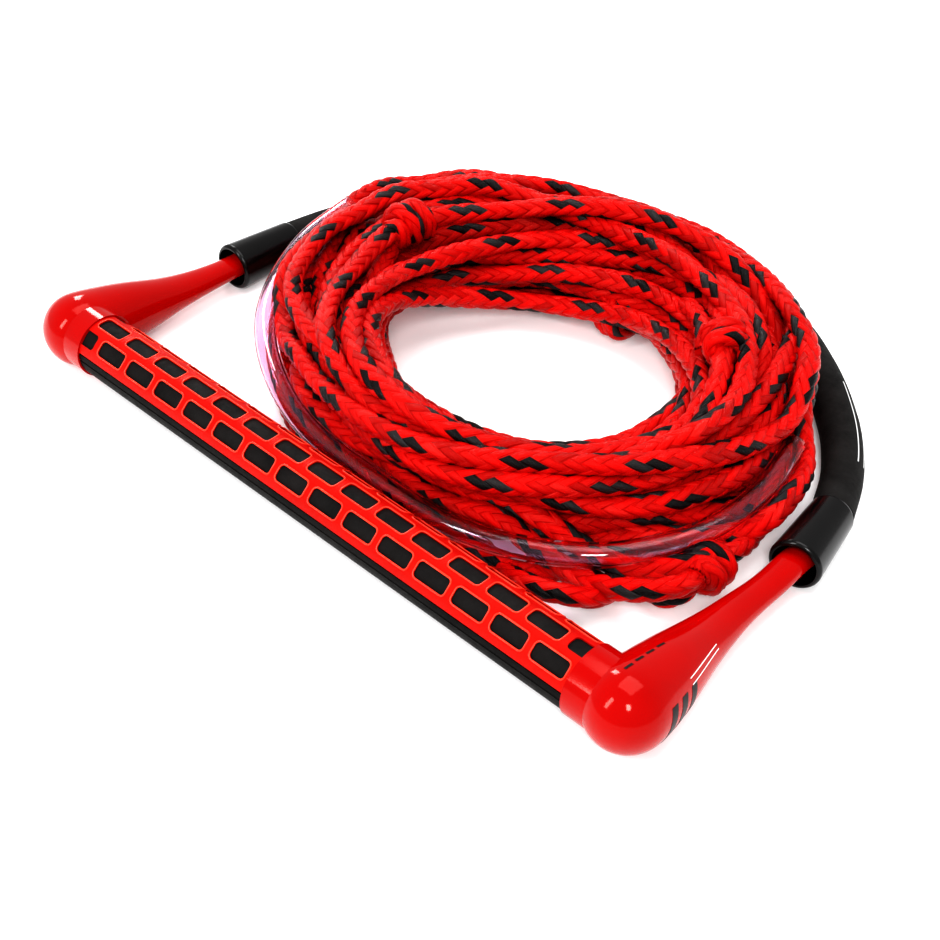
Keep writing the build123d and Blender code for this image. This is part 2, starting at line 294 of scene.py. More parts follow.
def braid(name, line, radius, pitch=0.050, m=3, k=6, bulge=0.0008, black_a=(0, 1), black_b=(),
          phase=0, reach=None, squash=0.0, mats=("red_1", "red_2", "red_3", "red_4", "black_1", "black_2")):
    """A braided rope that follows line: k carriers each way, over two and under two.
    reach(s) scales the radius along the rope, as at a splice."""
    L = arclen(line)
    ds = pitch / (2 * k * m)
    n = max(4, int(L[-1] / ds))
    s = np.linspace(0, L[-1], n + 1)
    c = at_lengths(line, s)
    t, nn, bb = frames(c)
    J = k * m
    tt = np.arange(n + 1)[:, None]
    cc = 2 * np.arange(J)[None] + (tt & 1)
    p = (tt + cc) // 2
    q = (cc - tt) // 2
    pp, qq = p + phase, q
    i, j = pp // m, qq // m
    fp, fq = (pp % m) / m, (qq % m) / m
    w = (i + j) % 4  # 0, 1: an a carrier lies on top and runs along p; 2, 3: a b carrier, along q
    wp, wq = (i - 1 + j) % 4, (i + j - 1) % 4
    run_a = np.sin(np.pi * (w + fp) / 2).clip(0, 1) ** 0.5
    run_b = np.sin(np.pi * (w - 2 + fq) / 2).clip(0, 1) ** 0.5
    crown = np.where(w < 2, np.sin(np.pi * fq) * run_a, np.sin(np.pi * fp) * run_b)
    crown = np.where((fp == 0) & (fq > 0), np.where((w < 2) & (wp < 2), np.sin(np.pi * fq), 0), crown)
    crown = np.where((fq == 0) & (fp > 0), np.where((w > 1) & (wq > 1), np.sin(np.pi * fp), 0), crown)
    crown = np.where((fp == 0) & (fq == 0), 0, crown)
    th = 2 * np.pi * cc / (2 * J)
    wob = 1 + 0.018 * np.sin(s / 0.011) + 0.014 * np.sin(s / 0.0067 + 1.3)
    rr = (radius - bulge * 0.55) * wob
    if reach is not None:
        rr = rr * reach(s)
    rr = rr[:, None] + bulge * crown ** 0.7
    oval = 1 + squash * np.cos(2 * (th - (s / 0.031 + 0.9 * np.sin(s / 0.083))[:, None]))
    x = np.cos(th) * rr * oval
    y = np.sin(th) * rr * oval
    v = c[:, None, :] + nn[:, None, :] * x[..., None] + bb[:, None, :] * y[..., None]
    verts = v.reshape(-1, 3)
    # one quad for each vertex that isn't on an end ring
    ti = np.repeat(np.arange(1, n)[:, None], J, 1)
    ci = cc[1:n]

    def vid(tq, cq):
        return tq * J + (((cq - (tq & 1)) // 2) % J)

    quads = np.stack([vid(ti, ci), vid(ti + 1, ci + 1), vid(ti, ci + 2), vid(ti - 1, ci + 1)], -1).reshape(-1, 4)
    P = (p[1:n] + phase).reshape(-1)
    Q = q[1:n].reshape(-1)
    i, j = P // m, Q // m
    a_top = (i + j) % 4 < 2
    ia, ib = j % k, i % k
    black = np.where(a_top, np.isin(ia, black_a), np.isin(ib, black_b))
    # one dye shade for each float of a carrier
    fa = np.where(a_top, i - (i + j) % 4, i)
    fb = np.where(a_top, j, j - ((i + j) % 4 - 2))
    turn_of = fa // k  # the same place one turn on is another float
    h = (fa * 73856093) ^ (fb * 19349663) ^ (turn_of * 83492791)
    h = (h ^ (h >> 7)) & 1023
    red = np.array([0, 0, 0, 1, 1, 1, 2, 3])[h % 8]
    index = np.where(black, 4 + (h >> 3) % 2, red)
    along = np.where(a_top, P, Q).astype(float) / m
    cross = np.where(a_top, Q, P).astype(float) / m
    d = 1.0 / m
    # corners in the order of the quad: (p,q) (p+1,q) (p+1,q+1) (p,q+1)
    du = np.array([0, 1, 1, 0]) * d
    dv = np.array([0, 0, 1, 1]) * d
    ua = np.where(a_top[:, None], along[:, None] + du, along[:, None] + dv)
    va = np.where(a_top[:, None], cross[:, None] + dv, cross[:, None] + du)
    uv = np.stack([ua, va], -1)
    caps = [list(range(J - 1, -1, -1)), [n * J + z for z in range(J)]]
    # the outward side
    f = quads[:, ::-1]
    uv = uv[:, ::-1]
    return mesh_from(name, verts, f, [M[x] for x in mats], index, uv, extra=caps)


def tube(name, line, outer, inner, mat, seg=40, step=0.0025):
    """A hollow tube along line, open bore, with its cut ends closed between the walls."""
    L = arclen(line)
    n = int(L[-1] / step)
    c = at_lengths(line, np.linspace(0, L[-1], n + 1))
    t, nn, bb = frames(c)
    th = np.arange(seg) * 2 * np.pi / seg
    ring = np.cos(th)[None, :, None] * nn[:, None] + np.sin(th)[None, :, None] * bb[:, None]
    vo = (c[:, None] + ring * outer).reshape(-1, 3)
    vi = (c[:, None] + ring * inner).reshape(-1, 3)
    verts = np.vstack([vo, vi])
    off = len(vo)
    a = np.arange(n)[:, None] * seg
    j = np.arange(seg)[None]
    j2 = (j + 1) % seg
    qo = np.stack([a + j, a + j2, a + seg + j2, a + seg + j], -1).reshape(-1, 4)
    qi = np.stack([off + a + j, off + a + seg + j, off + a + seg + j2, off + a + j2], -1).reshape(-1, 4)
    j = np.arange(seg)
    j2 = (j + 1) % seg
    e0 = np.stack([j, off + j, off + j2, j2], -1)
    z = n * seg
    e1 = np.stack([z + j, z + j2, off + z + j2, off + z + j], -1)
    quads = np.vstack([qo, qi, e0, e1])
    return mesh_from(name, verts, quads, [mat])


# ------------------------------------------------------------------ main line
# Control points of the line as it lies in the coil, tenths of a millimetre,
# y from the bar's axis: about two dozen for each turn.
COIL = """
0 2470 132 102 2274 163 287 2148 175 508 2050 152 717 1934 130 905 1796 70 1050 1605 48 1142 1380 48
1171 1142 48 1163 902 48 1128 666 48 1250 440 90 1097 265 158 847 262 83 647 350 48 405 320 48
167 297 48 -67 250 48 -309 254 48 -536 337 48 -751 443 48 -958 565 48 -1141 722 48 -1299 898 48
-1384 1127 48 -1413 1366 48 -1360 1603 48 -1228 1806 48 -1032 1947 48 -835 2083 55 -626 2200 79 -404 2285 117
-174 2341 157 58 2345 221 295 2307 218 520 2221 227 726 2095 222 881 1909 226 979 1691 197 1047 1472 124
1089 1240 68 1033 1006 48 904 800 48 708 661 48 496 546 48 264 486 48 27 447 48 -210 409 48
-451 425 48 -678 502 48 -886 624 48 -1070 779 48 -1225 963 48 -1315 1189 48 -1315 1429 63 -1265 1658 121
-1167 1878 135 -1010 2060 101 -819 2203 69 -601 2301 48 -363 2340 48 -123 2342 48 118 2342 48 353 2288 48
571 2186 48 769 2049 48 940 1880 48 1095 1696 48 1192 1477 48 1290 1257 52 1404 1052 88 1456 831 160
1487 616 201 1306 458 172 1069 451 97 857 419 149 705 379 259 477 316 200 235 311 196 -2 351 182
-228 431 180 -438 540 136 -658 632 125 -859 766 123 -1019 945 100 -1130 1157 78 -1141 1398 52 -1094 1633 48
-948 1826 48 -777 1996 48 -579 2132 48 -358 2228 48 -118 2253 48 123 2250 48 354 2191 69 576 2109 115
788 1999 136 967 1837 131 1093 1629 124 1141 1397 138 1138 1164 137 1089 932 85 959 730 48 765 592 48
557 471 48 325 408 48 89 363 48 -148 333 67 -385 344 106 -615 413 133 -832 516 140 -1031 651 132
-1199 825 123 -1377 976 125 -1496 1185 90 -1524 1419 53 -1464 1652 48 -1353 1866 48 -1193 2047 48 -1009 2201 48
-800 2319 48 -574 2403 48 -334 2433 48 -95 2429 48 145 2429 48 383 2389 48 612 2318 48 825 2206 48
1012 2056 56 1160 1868 48 1253 1676 70 1302 1458 61 1344 1239 150 1275 1015 209 1126 827 219 976 647 216
806 484 165 602 361 132 358 353 119 125 399 132 -109 456 130 -336 502 67 -571 547 48 -783 663 48
-975 809 48 -1135 989 48 -1229 1213 48 -1231 1456 54 -1159 1686 77 -1007 1872 105 -802 1995 137 -571 2064 145
-332 2088 150 -92 2079 133 142 2023 136 363 1932 112 572 1810 104 713 1621 48 760 1378 48 679 1152 48
507 979 48 317 829 48 85 761 48 -155 744 48 -395 767 49 -623 827 110 -803 992 143 -889 1205 170
-849 1407 95 -754 1606 48 -563 1759 48 -349 1868 58 -119 1922 106 114 1925 163 350 1892 201 554 1767 239
739 1612 258 854 1400 233 849 1159 231 734 945 228 554 783 238 326 707 215 90 659 207 -151 674 209
-380 746 226 -585 873 217 -761 1040 215 -795 1273 195 -781 1507 152 -667 1717 126 -495 1886 131 -279 1990 158
-49 2037 216 186 2039 267 418 1996 315 644 1908 313 831 1759 269 944 1559 215 920 1326 173 842 1111 123
697 921 91 505 800 49 279 718 48 43 672 48 -197 653 48 -437 684 48 -655 789 48 -842 921 109
-1003 1086 165 -1127 1280 214 -1156 1516 224 -1005 1712 219 -819 1812 149 -616 1938 116 -396 2026 76 -172 2108 48
65 2155 48 303 2122 48 530 2040 48 715 1887 48 876 1703 48 920 1464 48 911 1223 48 839 991 48
686 807 48 483 681 48 249 618 48 13 577 48 -227 564 48 -466 604 48 -686 701 48 -876 851 48
-993 1063 68 -1058 1240 114 -1017 1409 155 -934 1590 135 -783 1740 100 -590 1867 48 -364 1952 48 -135 2024 48
103 2068 49 340 2022 48 555 1913 48 731 1746 48 828 1525 48 839 1295 67 743 1086 48 570 940 98
371 809 118 143 732 132 -98 716 131 -335 763 136 -542 886 146 -726 1027 79 -897 1194 67 -921 1423 48
-974 1627 48 -816 1802 48 -663 1984 48 -451 2101 61 -225 2173 97 12 2208 130 229 2261 132 471 2236 140
701 2170 120 902 2039 89 1068 1862 78 1179 1652 112 1275 1443 187 1215 1219 199 1160 1008 183 1090 808 124
1040 595 48 917 395 58 733 263 116 489 255 104 248 252 103 15 285 126 -216 331 168 -440 429 175
-601 590 221 -795 729 251 -978 883 268 -1145 1057 264 -1282 1253 254 -1372 1476 236 -1378 1717 229 -1292 1943 229
-1122 2116 232 -910 2230 244 -681 2299 256 -450 2359 276 -218 2414 307 16 2444 357 253 2424 390 483 2364 426
698 2265 461 893 2127 491 1094 1999 452 1190 1822 431 1270 1641 356 1266 1476 350 1247 1231 403 1177 1009 456
1060 799 485 885 633 486 699 481 484 493 358 472 264 281 461 25 272 438 -210 314 403 -436 378 360
-658 470 337 -858 572 245 -1039 711 232 -1204 855 321 -1295 1079 339 -1333 1281 343 -1316 1487 342 -1304 1690 362
-1241 1866 323 -1143 2023 344 -975 2122 309 -783 2215 320 -551 2227 300 -316 2237 267 -83 2189 267 152 2144 250
372 2057 223 554 1901 222 690 1706 163 707 1477 127 635 1263 48 483 1073 48 295 920 48 64 847 48
-177 831 48 -415 861 48 -652 904 48 -874 1006 48 -989 1225 48 -1058 1441 75 -1021 1640 111 -953 1851 182
-775 1993 231 -561 2105 233 -325 2154 215 -86 2149 188 149 2112 157 373 2027 132 584 1911 131 767 1756 121
900 1555 134 992 1336 126 1046 1107 145 996 899 135 931 717 152 740 605 123 509 532 129 276 497 172
36 480 186 -202 504 206 -431 579 220 -633 709 240 -821 857 258 -995 1022 268 -1153 1203 263 -1261 1411 287
-1305 1608 205 -1257 1804 252 -1173 1985 172 -977 2121 184 -775 2246 157 -552 2337 163 -322 2401 181 -84 2428 210
152 2433 196 390 2409 171 621 2352 139 822 2226 136 991 2075 138 1063 1862 170 1101 1659 216 1030 1434 211
962 1218 199 855 1005 173 697 824 160 498 690 161 277 595 180 38 569 191 -201 593 208 -425 674 245
-623 809 274 -757 999 327 -868 1206 362 -979 1412 372 -1012 1637 323 -1022 1839 280 -894 2011 256 -749 2180 224
-522 2268 214 -291 2330 234 -57 2368 276 179 2391 284 416 2352 265 638 2259 248 830 2113 239 978 1924 243
1144 1749 268 1237 1533 221 1293 1309 293 1272 1068 319 1183 847 312 1031 658 315 833 525 337 618 416 334
382 369 347 142 368 366 -96 389 393 -332 433 385 -555 520 361 -771 619 334 -966 755 300 -1136 918 258
-1287 1102 223 -1403 1313 190 -1455 1520 191 -1454 1741 186 -1392 1940 237 -1257 2110 267 -1068 2250 295 -857 2365 318
-654 2489 289 -420 2547 283 -182 2578 289 56 2578 307 293 2537 317 518 2452 334 724 2330 360 902 2173 399
1009 1957 415 1098 1736 441 1140 1499 431 1157 1262 403 1139 1024 374 1063 795 384 930 596 414 752 435 420
539 323 400 304 278 373 64 286 349 -168 342 328 -393 430 295 -589 493 215 -778 593 125 -983 727 126
-1156 883 171 -1324 1052 159 -1471 1246 143 -1510 1434 223 -1555 1638 232 -1570 1864 235 -1527 2091 155 -1360 2232 216
-1154 2329 237 -918 2359 221 -682 2383 240 -465 2437 329 -234 2431 399 1 2391 433 233 2325 427 446 2218 402
648 2088 416 804 1905 404 938 1705 397 1058 1502 393 1111 1274 340 1022 1065 302 880 870 317 714 701 362
525 556 396 306 469 447 70 432 490 -157 509 526 -359 641 500 -514 821 457 -600 1031 375 -616 1252 278
-547 1471 200 -400 1658 155 -196 1791 158 35 1853 195 268 1850 259 493 1780 312 701 1667 356 880 1506 382
992 1292 365 963 1052 380 884 827 412 736 637 441 555 486 483 339 383 522 99 364 550 -139 408 557
-350 527 549 -515 703 527 -617 917 491 -664 1150 450 -659 1389 415 -607 1623 392 -505 1841 379 -352 2028 368
-150 2159 356 83 2227 344 323 2220 333 550 2139 301 718 1978 238 855 1794 169 974 1598 89 1008 1370 48
980 1128 49 889 915 97 722 743 98 516 621 108 283 556 100 45 524 113 -193 554 133 -424 619 133
-642 719 149 -842 850 170 -1035 994 192 -1180 1181 162 -1255 1361 157 -1224 1560 170 -1154 1758 186 -1028 1947 177
-829 2081 152 -603 2164 156 -372 2227 180 -137 2270 211 95 2264 264 311 2210 243 506 2080 243 667 1902 217
777 1689 211 865 1470 150 798 1235 148 699 1019 165 555 828 154 349 703 123 118 634 121 -123 627 131
-357 684 141 -577 773 178 -774 907 216 -917 1088 218 -1027 1276 231 -1019 1484 225 -942 1684 282 -811 1884 289
-636 2047 324 -432 2170 349 -213 2267 357 23 2317 349 263 2320 334 495 2255 319 704 2135 312 896 1995 326
1062 1821 349 1182 1613 359 1189 1381 319 1196 1142 299 1117 915 290 977 721 280 789 571 276 560 496 306
327 462 355 91 461 400 -145 477 439 -383 497 460 -620 539 446 -843 628 424 -1035 770 409 -1170 964 392
-1244 1186 420 -1255 1413 399 -1236 1636 439 -1097 1805 427 -942 1968 460 -711 2050 455 -480 2113 437 -241 2130 440
-4 2113 475 228 2065 519 460 2005 531 683 1914 529 889 1789 521 1032 1599 513 1131 1387 505 1124 1146 490
1037 926 450 916 723 406 746 555 373 528 454 402 301 381 439 64 355 465 -176 354 488 -402 435 533
-586 587 530 -726 782 504 -829 997 476 -914 1222 475 -946 1464 467 -840 1684 453 -679 1863 459 -502 2023 492
-300 2148 527 -74 2230 538 163 2271 527 404 2271 501 623 2215 424 834 2138 341 1026 2011 268 1168 1829 201
1275 1616 167 1369 1396 165 1439 1180 94 1492 973 157 1440 738 214 1251 598 136 1025 541 172 816 492 265
582 440 246 353 372 260 117 329 282 -119 303 241 -358 334 252 -592 408 256 -752 575 227 -919 747 201
-1073 924 160 -1231 1103 134 -1332 1321 137 -1385 1541 135 -1361 1764 137 -1276 1969 137 -1109 2136 132 -912 2274 133
-695 2376 150 -473 2455 197 -240 2488 248 -4 2499 285 233 2472 269 471 2440 244 678 2354 259 866 2275 268
1019 2129 316 1145 1925 322 1234 1747 277 1402 1602 178 1479 1386 224 1489 1148 177 1348 964 153 1201 799 183
1030 641 133 816 537 84 591 463 136 359 418 179 125 408 229 -114 424 262 -340 499 288 -560 595 304
-763 723 331 -925 901 348 -1037 1113 360 -1091 1348 374 -1087 1590 390 -996 1812 382 -846 2000 362 -653 2145 387
-429 2223 435 -190 2243 448 50 2226 441 283 2179 416 502 2090 369 705 1968 328 891 1816 311 1000 1603 281
1116 1398 274 1118 1168 230 1060 958 250 887 799 251 666 708 238 435 650 262 198 612 268 -42 607 281
-278 656 301 -485 773 325 -625 940 317 -717 1130 294 -727 1327 235 -662 1526 242 -515 1696 231 -329 1836 275
-107 1926 306 127 1965 342 366 1941 369 594 1865 379 795 1732 379 953 1556 340 1025 1344 305 1022 1133 225
919 926 183 803 731 163 629 585 206 430 466 241 194 439 296 -43 453 336 -274 507 370 -497 592 399
-698 725 420 -858 908 418 -948 1120 362 -967 1338 286 -901 1544 215 -770 1741 192 -589 1898 188 -382 2019 212
-155 2089 255 79 2102 310 311 2077 368 529 1986 422 712 1843 484 863 1656 512 988 1453 485 1072 1233 431
1044 996 379 938 783 330 743 647 292 514 578 272 277 539 253 39 514 270 -200 540 288 -423 624 318
-632 741 343 -814 905 340 -885 1115 281 -876 1339 254 -782 1557 234 -621 1736 210 -412 1858 199 -182 1926 207
55 1951 237 292 1932 276 524 1869 295 725 1735 295 884 1550 290 943 1321 269 905 1083 274 779 878 292
613 706 326 405 586 347 170 531 343 -70 544 366 -301 608 385 -520 711 410 -658 901 395 -745 1123 403
-762 1352 342 -701 1585 314 -567 1785 294 -379 1937 291 -166 2042 334 61 2095 395 295 2096 451 530 2066 490
756 1980 504 951 1845 450 1061 1658 345 1166 1477 226 1209 1292 107 1294 1090 48 1330 885 80
"""
coil_pts = np.array([float(v) for v in COIL.split()]).reshape(-1, 3) * 0.1
LINE_R = 0.00475
line_path = line_of(mm(coil_pts), 16)
main_line = braid("main_line", line_path, LINE_R, squash=0.07, bulge=0.0007)
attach(main_line, "bridle")
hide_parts("mainline_lead", "mainline_coil")

K1_AT = (-93.0, 145.7, 46.7)
K2_AT = (82.2, 170.5, 50.2)
K3_AT = (4.8, 192.6, 14.6)
K5_AT = (144.7, 83.9, 15.9)
# ------------------------------------------------------------------ knots
def wraps(name, centre, axis, turns, ra, rb, r, span, up=(0, 0, 1), tuck=0.5, phase=0.0, hand=1, per=12,
          black=(0, 1), pitch=0.05):
    """Turns of the line wound round another strand at centre, both ends tucked in to the axis."""
    c = np.array(centre, float)
    a = np.array(axis, float)
    a /= np.linalg.norm(a)
    u = np.array(up, float)
    u -= a * (u @ a)
    u /= np.linalg.norm(u)
    w = np.cross(a, u)
    pts = []
    n = int(round(turns * per))
    for i in range(n + 1):
        f = i / n
        th = phase + hand * 2 * math.pi * turns * f
        ease = min(1.0, f * turns * 3.0, (1 - f) * turns * 3.0)
        s = tuck + (1 - tuck) * ease
        pts.append(c + a * span * (f - 0.5) + (u * math.cos(th) * rb + w * math.sin(th) * ra) * s)
    first = c - a * (span * 0.5 + 0.004) + (pts[0] - c + a * span * 0.5) * 0.3
    last = c + a * (span * 0.5 + 0.004) + (pts[-1] - c - a * span * 0.5) * 0.3
    pts = [first] + pts + [last]
    line = line_of(pts, 10)
    ob = braid(name, line, r, black_a=black, pitch=pitch, bulge=0.0007)
    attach(ob, "bridle")
    return ob


def on_line(target):
    """The main line's point nearest to target, in mm from the bar's axis, and its direction there."""
    t = mm([target])[0]
    k = int(np.argmin(np.linalg.norm(line_path - t, axis=1)))
    a, b = max(0, k - 6), min(len(line_path) - 1, k + 6)
    d = line_path[b] - line_path[a]
    return line_path[k], d / np.linalg.norm(d), k


p, d, k = on_line(K1_AT)
knot = wraps("section_wraps_1", p, d, 2.6, 0.0082, 0.0072, 0.0043, 0.019, phase=0.6)
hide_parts("section_knot_1")
p, d, k2 = on_line(K2_AT)
knot = wraps("section_wraps_2", p, d, 2.0, 0.0078, 0.0068, 0.0045, 0.0165, phase=2.4)
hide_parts("section_knot_2")
p, d, k = on_line(K3_AT)
knot = wraps("section_wraps_3", p, d, 1.9, 0.0076, 0.0072, 0.0043, 0.015, phase=1.0)
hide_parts("section_knot_3")
p, d, k = on_line(K5_AT)
knot = wraps("tow_loop_wraps", p, d, 2.0, 0.0076, 0.0070, 0.0044, 0.0190, phase=0.2)

# the second strand of the doubled rope that comes into knot 2
def beside(name, target, before, after, off, r, dive=0.012, black=(0, 1)):
    """A strand that lies beside the main line for a stretch and dips under at both ends."""
    p, d, k = on_line(target)
    L = arclen(line_path)
    s0 = L[k]
    s = np.linspace(s0 - before, s0 + after, 9)
    c = at_lengths(line_path, s)
    t = np.gradient(c, axis=0)
    t /= np.linalg.norm(t, axis=1)[:, None]
    side = np.cross(t, (0, 0, 1.0))
    side /= np.linalg.norm(side, axis=1)[:, None]
    f = np.linspace(0, 1, 9)
    down = np.where(f < 0.25, (1 - f / 0.25) ** 2, 0) * dive
    down = down + np.where(f > 0.85, ((f - 0.85) / 0.15) ** 2, 0) * 0.004
    q = c + side * np.array(off)[0] + np.array([0, 0, 1.0]) * (off[1] - down)[:, None]
    ob = braid(name, line_of(q, 10), r, black_a=black)
    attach(ob, "bridle")
    return ob


strand = beside("section_strand_2", K2_AT, 0.058, 0.004, (0.0088, 0.0004), 0.0044)

# apex: the line is wound twice round the bridle rope between the floats
apex = wraps("apex_wraps", mm([(0, 260, 13.2)])[0], (1, 0, 0), 2.0, 0.0083, 0.0080, 0.0044, 0.0105, phase=math.pi)
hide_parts("bridle_apex_knot")

# tow loop: the line's end turned back into an eye and spliced into itself
c0 = mm([(133, 73, 8)])[0]
eye = []
for i in range(17):
    th = math.radians(90 - 20 - (320.0 * i / 16))
    eye.append(c0 + np.array([math.cos(th) * 0.0105, math.sin(th) * 0.0118, 0.0012 * math.sin(2 * th)]))
eye = [c0 + np.array([0.0012, 0.0175, 0.0])] + eye + [c0 + np.array([-0.0012, 0.0175, 0.0])]
tow = braid("tow_eye", line_of(eye, 10), 0.0043, black_a=(0, 1))
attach(tow, "bridle")
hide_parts("tow_loop")

tuple(mm([(0, 247, 13.2)])[0])

# ------------------------------------------------------------------ bridle rope
LEFT = [(-167.9, 119.5, 10.3), (-168, 130, 9.8), (-163.6, 154, 9.8), (-153, 184, 9.8), (-131, 216, 9.8),
        (-97, 240, 9.8), (-62, 254, 9.8), (-36, 260, 9.8), (-14, 260, 10.5), (0, 260, 12.5)]
RIGHT = [(167.0, 120.5, 11.4), (160.9, 150.2, 9.8), (151, 173, 9.8), (134.5, 196.5, 9.8), (108, 222.5, 9.8),
         (77, 244, 9.8), (50, 255.5, 9.8), (30, 260, 9.8), (14, 260, 10.5), (0, 260, 12.5)]
for side, route in (("left", LEFT), ("right", RIGHT)):
    rope = braid("bridle_braid_" + side, line_of(mm(route), 8), 0.0034, pitch=0.036, m=2, k=4, bulge=0.0005,
                 black_a=(), mats=("red_1", "red_2", "red_3", "red_2", "black_1", "black_2"))
    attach(rope, "bridle")
    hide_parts("bridle_rope_" + side)

# ------------------------------------------------------------------ clear sleeve
SLEEVE = [(-141.6, 150.6, 33.0), (-142.4, 135.2, 30.1), (-141.0, 119.7, 27.9), (-136.8, 104.9, 25.2), (-130.7, 90.8,
          22.4), (-122.1, 77.8, 21.5), (-111.9, 65.8, 21.4), (-100.1, 55.6, 22.0), (-87.3, 46.4, 22.7), (-73.8, 38.5,
          22.5), (-59.5, 31.9, 21.7), (-44.7, 26.7, 21.1), (-29.4, 23.3, 20.6), (-13.7, 21.7, 20.2), (2.0, 21.4,
          20.1), (17.7, 21.4, 20.0), (33.5, 21.4, 20.1), (49.2, 22.1, 20.3), (64.7, 24.7, 20.6), (79.7, 29.3, 21.0),
          (93.8, 36.1, 21.5), (106.9, 44.8, 22.0), (118.6, 55.3, 22.7), (127.8, 67.9, 23.6), (135.1, 81.8, 24.2),
          (139.3, 96.9, 25.0), (140.6, 112.5, 25.5), (139.7, 128.2, 26.0), (136.8, 143.7, 26.5), (132.5, 158.8, 27.0)]
sleeve_line = line_of(mm(SLEEVE), 14)
sm, snt, sb = new_material("sleeve_clear_vinyl")
stc = snt.nodes.new("ShaderNodeTexCoord")
sn = noise(snt, stc.outputs["Object"], 45, 3.0)
sr = ramp(snt, [(0.3, (0.03,) * 3), (0.7, (0.10,) * 3)])
snt.links.new(sn.outputs[0], sr.inputs[0])
snt.links.new(sr.outputs[0], sb.inputs["Roughness"])
scr = ramp(snt, [(0.3, (0.93, 0.76, 0.86)), (0.7, (0.96, 0.84, 0.92))])
snt.links.new(sn.outputs[0], scr.inputs[0])
snt.links.new(scr.outputs[0], sb.inputs["Base Color"])
sn2 = noise(snt, stc.outputs["Object"], 160, 2.0)
bump(snt, sb, sn2.outputs[0], 0.08, 0.0006)
sb.inputs["Transmission Weight"].default_value = 1.0
sb.inputs["IOR"].default_value = 1.06
sb.inputs["Coat Weight"].default_value = 0.4
sb.inputs["Coat IOR"].default_value = 1.6
sb.inputs["Coat Roughness"].default_value = 0.04
sb.inputs["Coat Tint"].default_value = (1.0, 0.9, 0.97, 1)
sleeve = tube("sleeve_clear", sleeve_line, 0.0055, 0.0043, sm)
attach(sleeve, "bridle")
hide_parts("clear_sleeve")

# ------------------------------------------------------------------ grip rims and printed marks
PITCH, WIN_W, WIN_H, GRIP_HALF = 0.021, 0.0173, 0.0076, 0.15225
BAR = np.array([0.0, -Y_MID, 0.018])


def window_rims():
    """A thin rounded lip round each window of the grip's lattice, coloured lighter and more orange than the lattice
    rubber as a painted highlight along the window edges.
    """
    verts, quads = [], []
    for row, deg in enumerate((44.8, 89.2, 133.5)):
        if row == 1:
            cs = [(-GRIP_HALF + PITCH * (0.5 + k), WIN_W) for k in range(14)]
        else:
            cs = [(-GRIP_HALF + PITCH * (1.0 + k), WIN_W) for k in range(14)]
        for cx, w in cs:
            hx, hy, rr = w / 2 + 0.00025, WIN_H / 2 + 0.00025, 0.0021
            ring = []
            for ax, ay, a0 in ((hx - rr, hy - rr, 0), (-hx + rr, hy - rr, 90), (-hx + rr, -hy + rr, 180),
                               (hx - rr, -hy + rr, 270)):
                for q in range(4):
                    t = math.radians(a0 + q * 30)
                    ring.append((ax + rr * math.cos(t), ay + rr * math.sin(t)))
            ring = np.array(ring)
            n = len(ring)
            tan = np.roll(ring, -1, axis=0) - np.roll(ring, 1, axis=0)
            tan /= np.linalg.norm(tan, axis=1)[:, None]
            nor = np.stack([tan[:, 1], -tan[:, 0]], 1)
            base = len(verts)
            for i in range(n):
                for j in range(6):
                    t = math.pi * 2 * j / 6
                    x = ring[i, 0] + nor[i, 0] * 0.00042 * math.cos(t)
                    y = ring[i, 1] + nor[i, 1] * 0.00042 * math.cos(t)
                    rad = 0.01498 + 0.00036 * math.sin(t)
                    a = math.radians(deg) + math.asin(max(-1, min(1, -y / 0.015)))
                    verts.append(BAR + np.array([cx + x, rad * math.cos(a), rad * math.sin(a)]))
            for i in range(n):
                i2 = (i + 1) % n
                for j in range(6):
                    j2 = (j + 1) % 6
                    quads.append((base + i * 6 + j, base + i * 6 + j2, base + i2 * 6 + j2, base + i2 * 6 + j))
    # the lip is the lattice's own rubber; its lighter orange red is painted highlight, as if its edges caught the
    # light
    m = plastic("grip_rim_red_painted_highlight", (0.72, 0.026, 0.010), (0.84, 0.050, 0.016), 0.34, 1500, 0.2, 0.0002, patch=70,
                rough_span=0.06, spec=0.4)
    ob = mesh_from("grip_window_rims", np.array(verts), np.array(quads), [m])
    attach(ob, "handle")
    return ob


window_rims()

from mathutils.bvhtree import BVHTree


def tree_of(name):
    me = nodes[name].data
    return BVHTree.FromPolygons([v.co[:] for v in me.vertices], [p.vertices[:] for p in me.polygons])


def mark(name, node_tree, centre, grid, mat, body, lift=0.00012):
    """A printed mark: grid[i][j] = (u, angle) pairs laid on the part's skin round its own centreline."""
    verts, ok = [], True
    for u, ang in grid.reshape(-1, 2):
        c, e1, e2 = centre(u)
        out = e1 * math.cos(ang) + e2 * math.sin(ang)
        hit, nor, idx, dist = node_tree.ray_cast(Vector(c + out * 0.04), Vector(-out), 0.05)
        if hit is None:
            hit = Vector(c + out * 0.0095)
        verts.append(np.array(hit) + out * lift)
    nu, nv = grid.shape[:2]
    quads = [(i * nv + j, i * nv + j + 1, (i + 1) * nv + j + 1, (i + 1) * nv + j)
             for i in range(nu - 1) for j in range(nv - 1)]
    ob = mesh_from(name, np.array(verts), np.array(quads), [mat])
    bm_fix(ob, centre)
    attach(ob, body)
    return ob


def bm_fix(ob, centre):
    """Faces look outward from the part."""
    me = ob.data
    p = me.polygons[len(me.polygons) // 2]
    near = min((centre(u)[0] for u in np.linspace(0, 1, 9)), key=lambda c: (Vector(c) - p.center).length)
    if p.normal.dot(p.center - Vector(near)) < 0:
        me.flip_normals()


SEC = np.array([(0.0, 172.0, 18.0), (10.0, 171.6, 17.4), (24.0, 170.8, 16.4), (38.0, 169.8, 15.3),
                (50.0, 169.0, 14.4), (62.0, 168.4, 13.5)]) * 0.001


